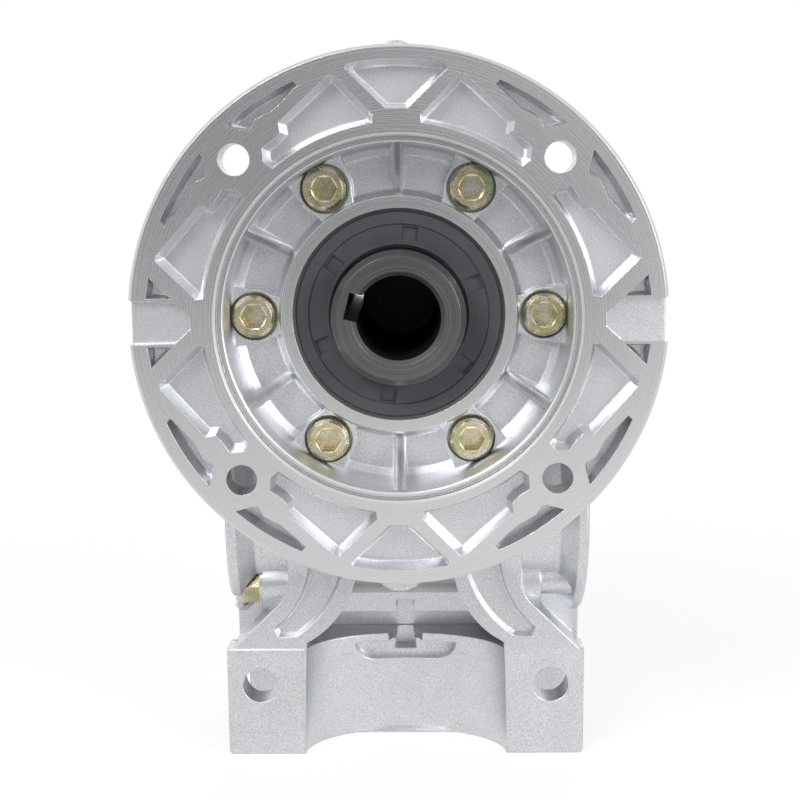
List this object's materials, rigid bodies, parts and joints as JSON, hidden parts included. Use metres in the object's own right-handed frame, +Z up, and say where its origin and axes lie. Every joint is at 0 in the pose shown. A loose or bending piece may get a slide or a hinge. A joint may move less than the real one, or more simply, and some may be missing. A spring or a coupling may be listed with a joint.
{
  "type": "worm gear reducer",
  "caption": "Worm gear reducer with a round output flange, a keyed hollow output shaft, a hollow input end and cast feet with fixing holes.",
  "frame": {"origin": "on the output axis, in the middle plane of the worm wheel", "axes": "-Y along the output axis out of the flange, +X along the worm axis out of the input bore, +Z up away from the feet"},
  "size_m": [0.155, 0.105, 0.2187],
  "materials": {
    "cast_aluminium": "blasted sand cast, joint faces and rims machined",
    "yellow_zinc_steel": "yellow passivated zinc plating",
    "seal_rubber": "satin",
    "black_rubber": "satin",
    "ground_steel": "fine ground, oiled",
    "bearing_steel": "fine ground",
    "dark_spring_steel": "phosphated",
    "cast_iron": "as cast, bore machined",
    "bronze": "hobbed",
    "cage_brass": "pressed sheet",
    "soft_aluminium": "rolled",
    "gasket": "pressed fibre"
  },
  "bodies": {
    "casing": {"wheel_case": "cast_aluminium", "end_case": "cast_aluminium", "worm_case": "cast_aluminium", "input_case": "cast_aluminium", "foot_base": "cast_aluminium", "flange_plate": "cast_aluminium", "flange_cup": "cast_aluminium", "flange_gasket": "gasket", "flange_screws": "yellow_zinc_steel", "front_seal": "seal_rubber", "rear_cover": "cast_aluminium", "rear_gasket": "gasket", "rear_screws": "yellow_zinc_steel", "rear_seal": "seal_rubber", "input_circlip": "dark_spring_steel", "end_circlip": "dark_spring_steel", "input_seal": "seal_rubber", "worm_end_cap": "black_rubber", "drain_plug": "yellow_zinc_steel", "drain_washer": "soft_aluminium", "filler_plug": "yellow_zinc_steel", "filler_washer": "soft_aluminium", "front_bearing_outer_ring": "bearing_steel", "rear_bearing_outer_ring": "bearing_steel", "input_bearing_outer_ring": "bearing_steel", "end_bearing_outer_ring": "bearing_steel"},
    "output_rotor": {"output_shaft": "ground_steel", "wheel_key": "ground_steel", "wheel_hub": "cast_iron", "wheel_rim": "bronze", "bore_end_cap": "black_rubber", "front_bearing_inner_ring": "bearing_steel", "rear_bearing_inner_ring": "bearing_steel"},
    "worm_rotor": {"worm_shaft": "ground_steel", "input_bearing_inner_ring": "bearing_steel", "end_bearing_inner_ring": "bearing_steel"},
    "front_cage": {"front_bearing_balls": "bearing_steel", "front_bearing_cage": "cage_brass"},
    "rear_cage": {"rear_bearing_balls": "bearing_steel", "rear_bearing_cage": "cage_brass"},
    "input_cage": {"input_bearing_balls": "bearing_steel", "input_bearing_cage": "cage_brass"},
    "end_cage": {"end_bearing_balls": "bearing_steel", "end_bearing_cage": "cage_brass"}
  },
  "joints": [
    {"name": "worm_spin", "type": "hinge", "parent": "casing", "child": "worm_rotor", "pos_m": [0, 0, -0.063], "axis": [1, 0, 0], "continuous": true},
    {"name": "output_spin", "type": "hinge", "parent": "casing", "child": "output_rotor", "pos_m": [0, 0, 0], "axis": [0, 1, 0], "continuous": true},
    {"name": "front_cage_spin", "type": "hinge", "parent": "casing", "child": "front_cage", "pos_m": [0, -0.022, 0], "axis": [0, 1, 0], "continuous": true},
    {"name": "rear_cage_spin", "type": "hinge", "parent": "casing", "child": "rear_cage", "pos_m": [0, 0.022, 0], "axis": [0, 1, 0], "continuous": true},
    {"name": "input_cage_spin", "type": "hinge", "parent": "casing", "child": "input_cage", "pos_m": [0.042, 0, -0.063], "axis": [1, 0, 0], "continuous": true},
    {"name": "end_cage_spin", "type": "hinge", "parent": "casing", "child": "end_cage", "pos_m": [-0.039, 0, -0.063], "axis": [1, 0, 0], "continuous": true}
  ],
  "couplings": [
    {"joint": "output_spin", "follows": "worm_spin", "ratio": 0.033333},
    {"joint": "front_cage_spin", "follows": "worm_spin", "ratio": 0.014461},
    {"joint": "rear_cage_spin", "follows": "worm_spin", "ratio": 0.014461},
    {"joint": "input_cage_spin", "follows": "worm_spin", "ratio": 0.41647},
    {"joint": "end_cage_spin", "follows": "worm_spin", "ratio": 0.38246}
  ]
}
